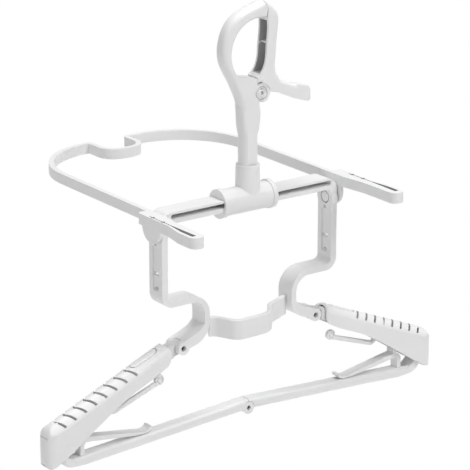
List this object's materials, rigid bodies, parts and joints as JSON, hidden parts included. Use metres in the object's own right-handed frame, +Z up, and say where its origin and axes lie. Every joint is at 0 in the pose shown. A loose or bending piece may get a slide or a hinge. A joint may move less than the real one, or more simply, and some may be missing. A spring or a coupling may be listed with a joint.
{
  "type": "folding hooded-top drying hanger",
  "caption": "Folding plastic hanger for hooded tops: locking swivel hook, square frame, tilting hood loop, neck band and drop-down shoulder arms linked by folding trouser bars.",
  "frame": {"origin": "the point of the hook's inner bow that hangs on the rail, in the hanger's middle plane", "axes": "+X along the crossbar to the gate's side, +Y to the back where the hood loop reaches, +Z up"},
  "size_m": [0.3912, 0.271, 0.349],
  "materials": {
    "plastic": "satin",
    "steel": "satin"
  },
  "bodies": {
    "hook": {"hook_body": "plastic", "gate_pin": "plastic", "gate_spring": "steel"},
    "gate": {"hook_gate": "plastic"},
    "frame": {"frame": "plastic", "neck_band": "plastic", "t_connector": "plastic", "swivel_ring": "steel", "arm_pin_left": "steel", "arm_pin_right": "steel"},
    "hood_loop": {"hood_loop": "plastic", "loop_stud_left": "plastic", "loop_stud_right": "plastic"},
    "arm_left": {"arm_shell_left": "plastic", "arm_core_left": "plastic", "strap_hook_left": "plastic"},
    "arm_right": {"arm_shell_right": "plastic", "arm_core_right": "plastic", "strap_hook_right": "plastic"},
    "centre": {"centre_pin": "plastic"},
    "bar_left": {"bar_left": "plastic", "tip_pin_left": "steel", "trouser_clip_left": "plastic"},
    "bar_right": {"bar_right": "plastic", "tip_pin_right": "steel", "trouser_clip_right": "plastic"}
  },
  "joints": [
    {"name": "hook_swivel", "type": "hinge", "parent": "hook", "child": "frame", "pos_m": [0.0026, 0, -0.1328], "axis": [0, 0, 1], "continuous": true},
    {"name": "gate_pivot", "type": "hinge", "parent": "hook", "child": "gate", "pos_m": [0.012, 0, -0.0591], "axis": [0, 1, 0], "range_deg": [0, 35], "stiffness_Nm_per_rad": 0.12, "springref_deg": -14.32},
    {"name": "loop_fold", "type": "hinge", "parent": "frame", "child": "hood_loop", "pos_m": [0, 0, -0.1588], "axis": [-1, 0, 0], "range_deg": [0, 90]},
    {"name": "arm_fold_right", "type": "hinge", "parent": "frame", "child": "arm_right", "pos_m": [0.0667, 0, -0.2568], "axis": [0, 1, 0], "range_deg": [0, 36]},
    {"name": "arm_fold_left", "type": "hinge", "parent": "frame", "child": "arm_left", "pos_m": [-0.0667, 0, -0.2568], "axis": [0, -1, 0], "range_deg": [0, 36]},
    {"name": "centre_rise", "type": "slide", "parent": "frame", "child": "centre", "axis": [0, 0, 1], "range_m": [0, 0.0909]},
    {"name": "bar_fold_right", "type": "hinge", "parent": "centre", "child": "bar_right", "pos_m": [0, 0, -0.3244], "axis": [0, 1, 0], "range_deg": [0, 51.12]},
    {"name": "bar_fold_left", "type": "hinge", "parent": "centre", "child": "bar_left", "pos_m": [0, 0, -0.3244], "axis": [0, -1, 0], "range_deg": [0, 51.12]}
  ],
  "couplings": [
    {"joint": "arm_fold_left", "follows": "arm_fold_right", "ratio": 1},
    {"joint": "centre_rise", "follows": "arm_fold_right", "m_per_rad": 0.14465},
    {"joint": "bar_fold_right", "follows": "arm_fold_right", "ratio": 1.42},
    {"joint": "bar_fold_left", "follows": "arm_fold_right", "ratio": 1.42}
  ]
}
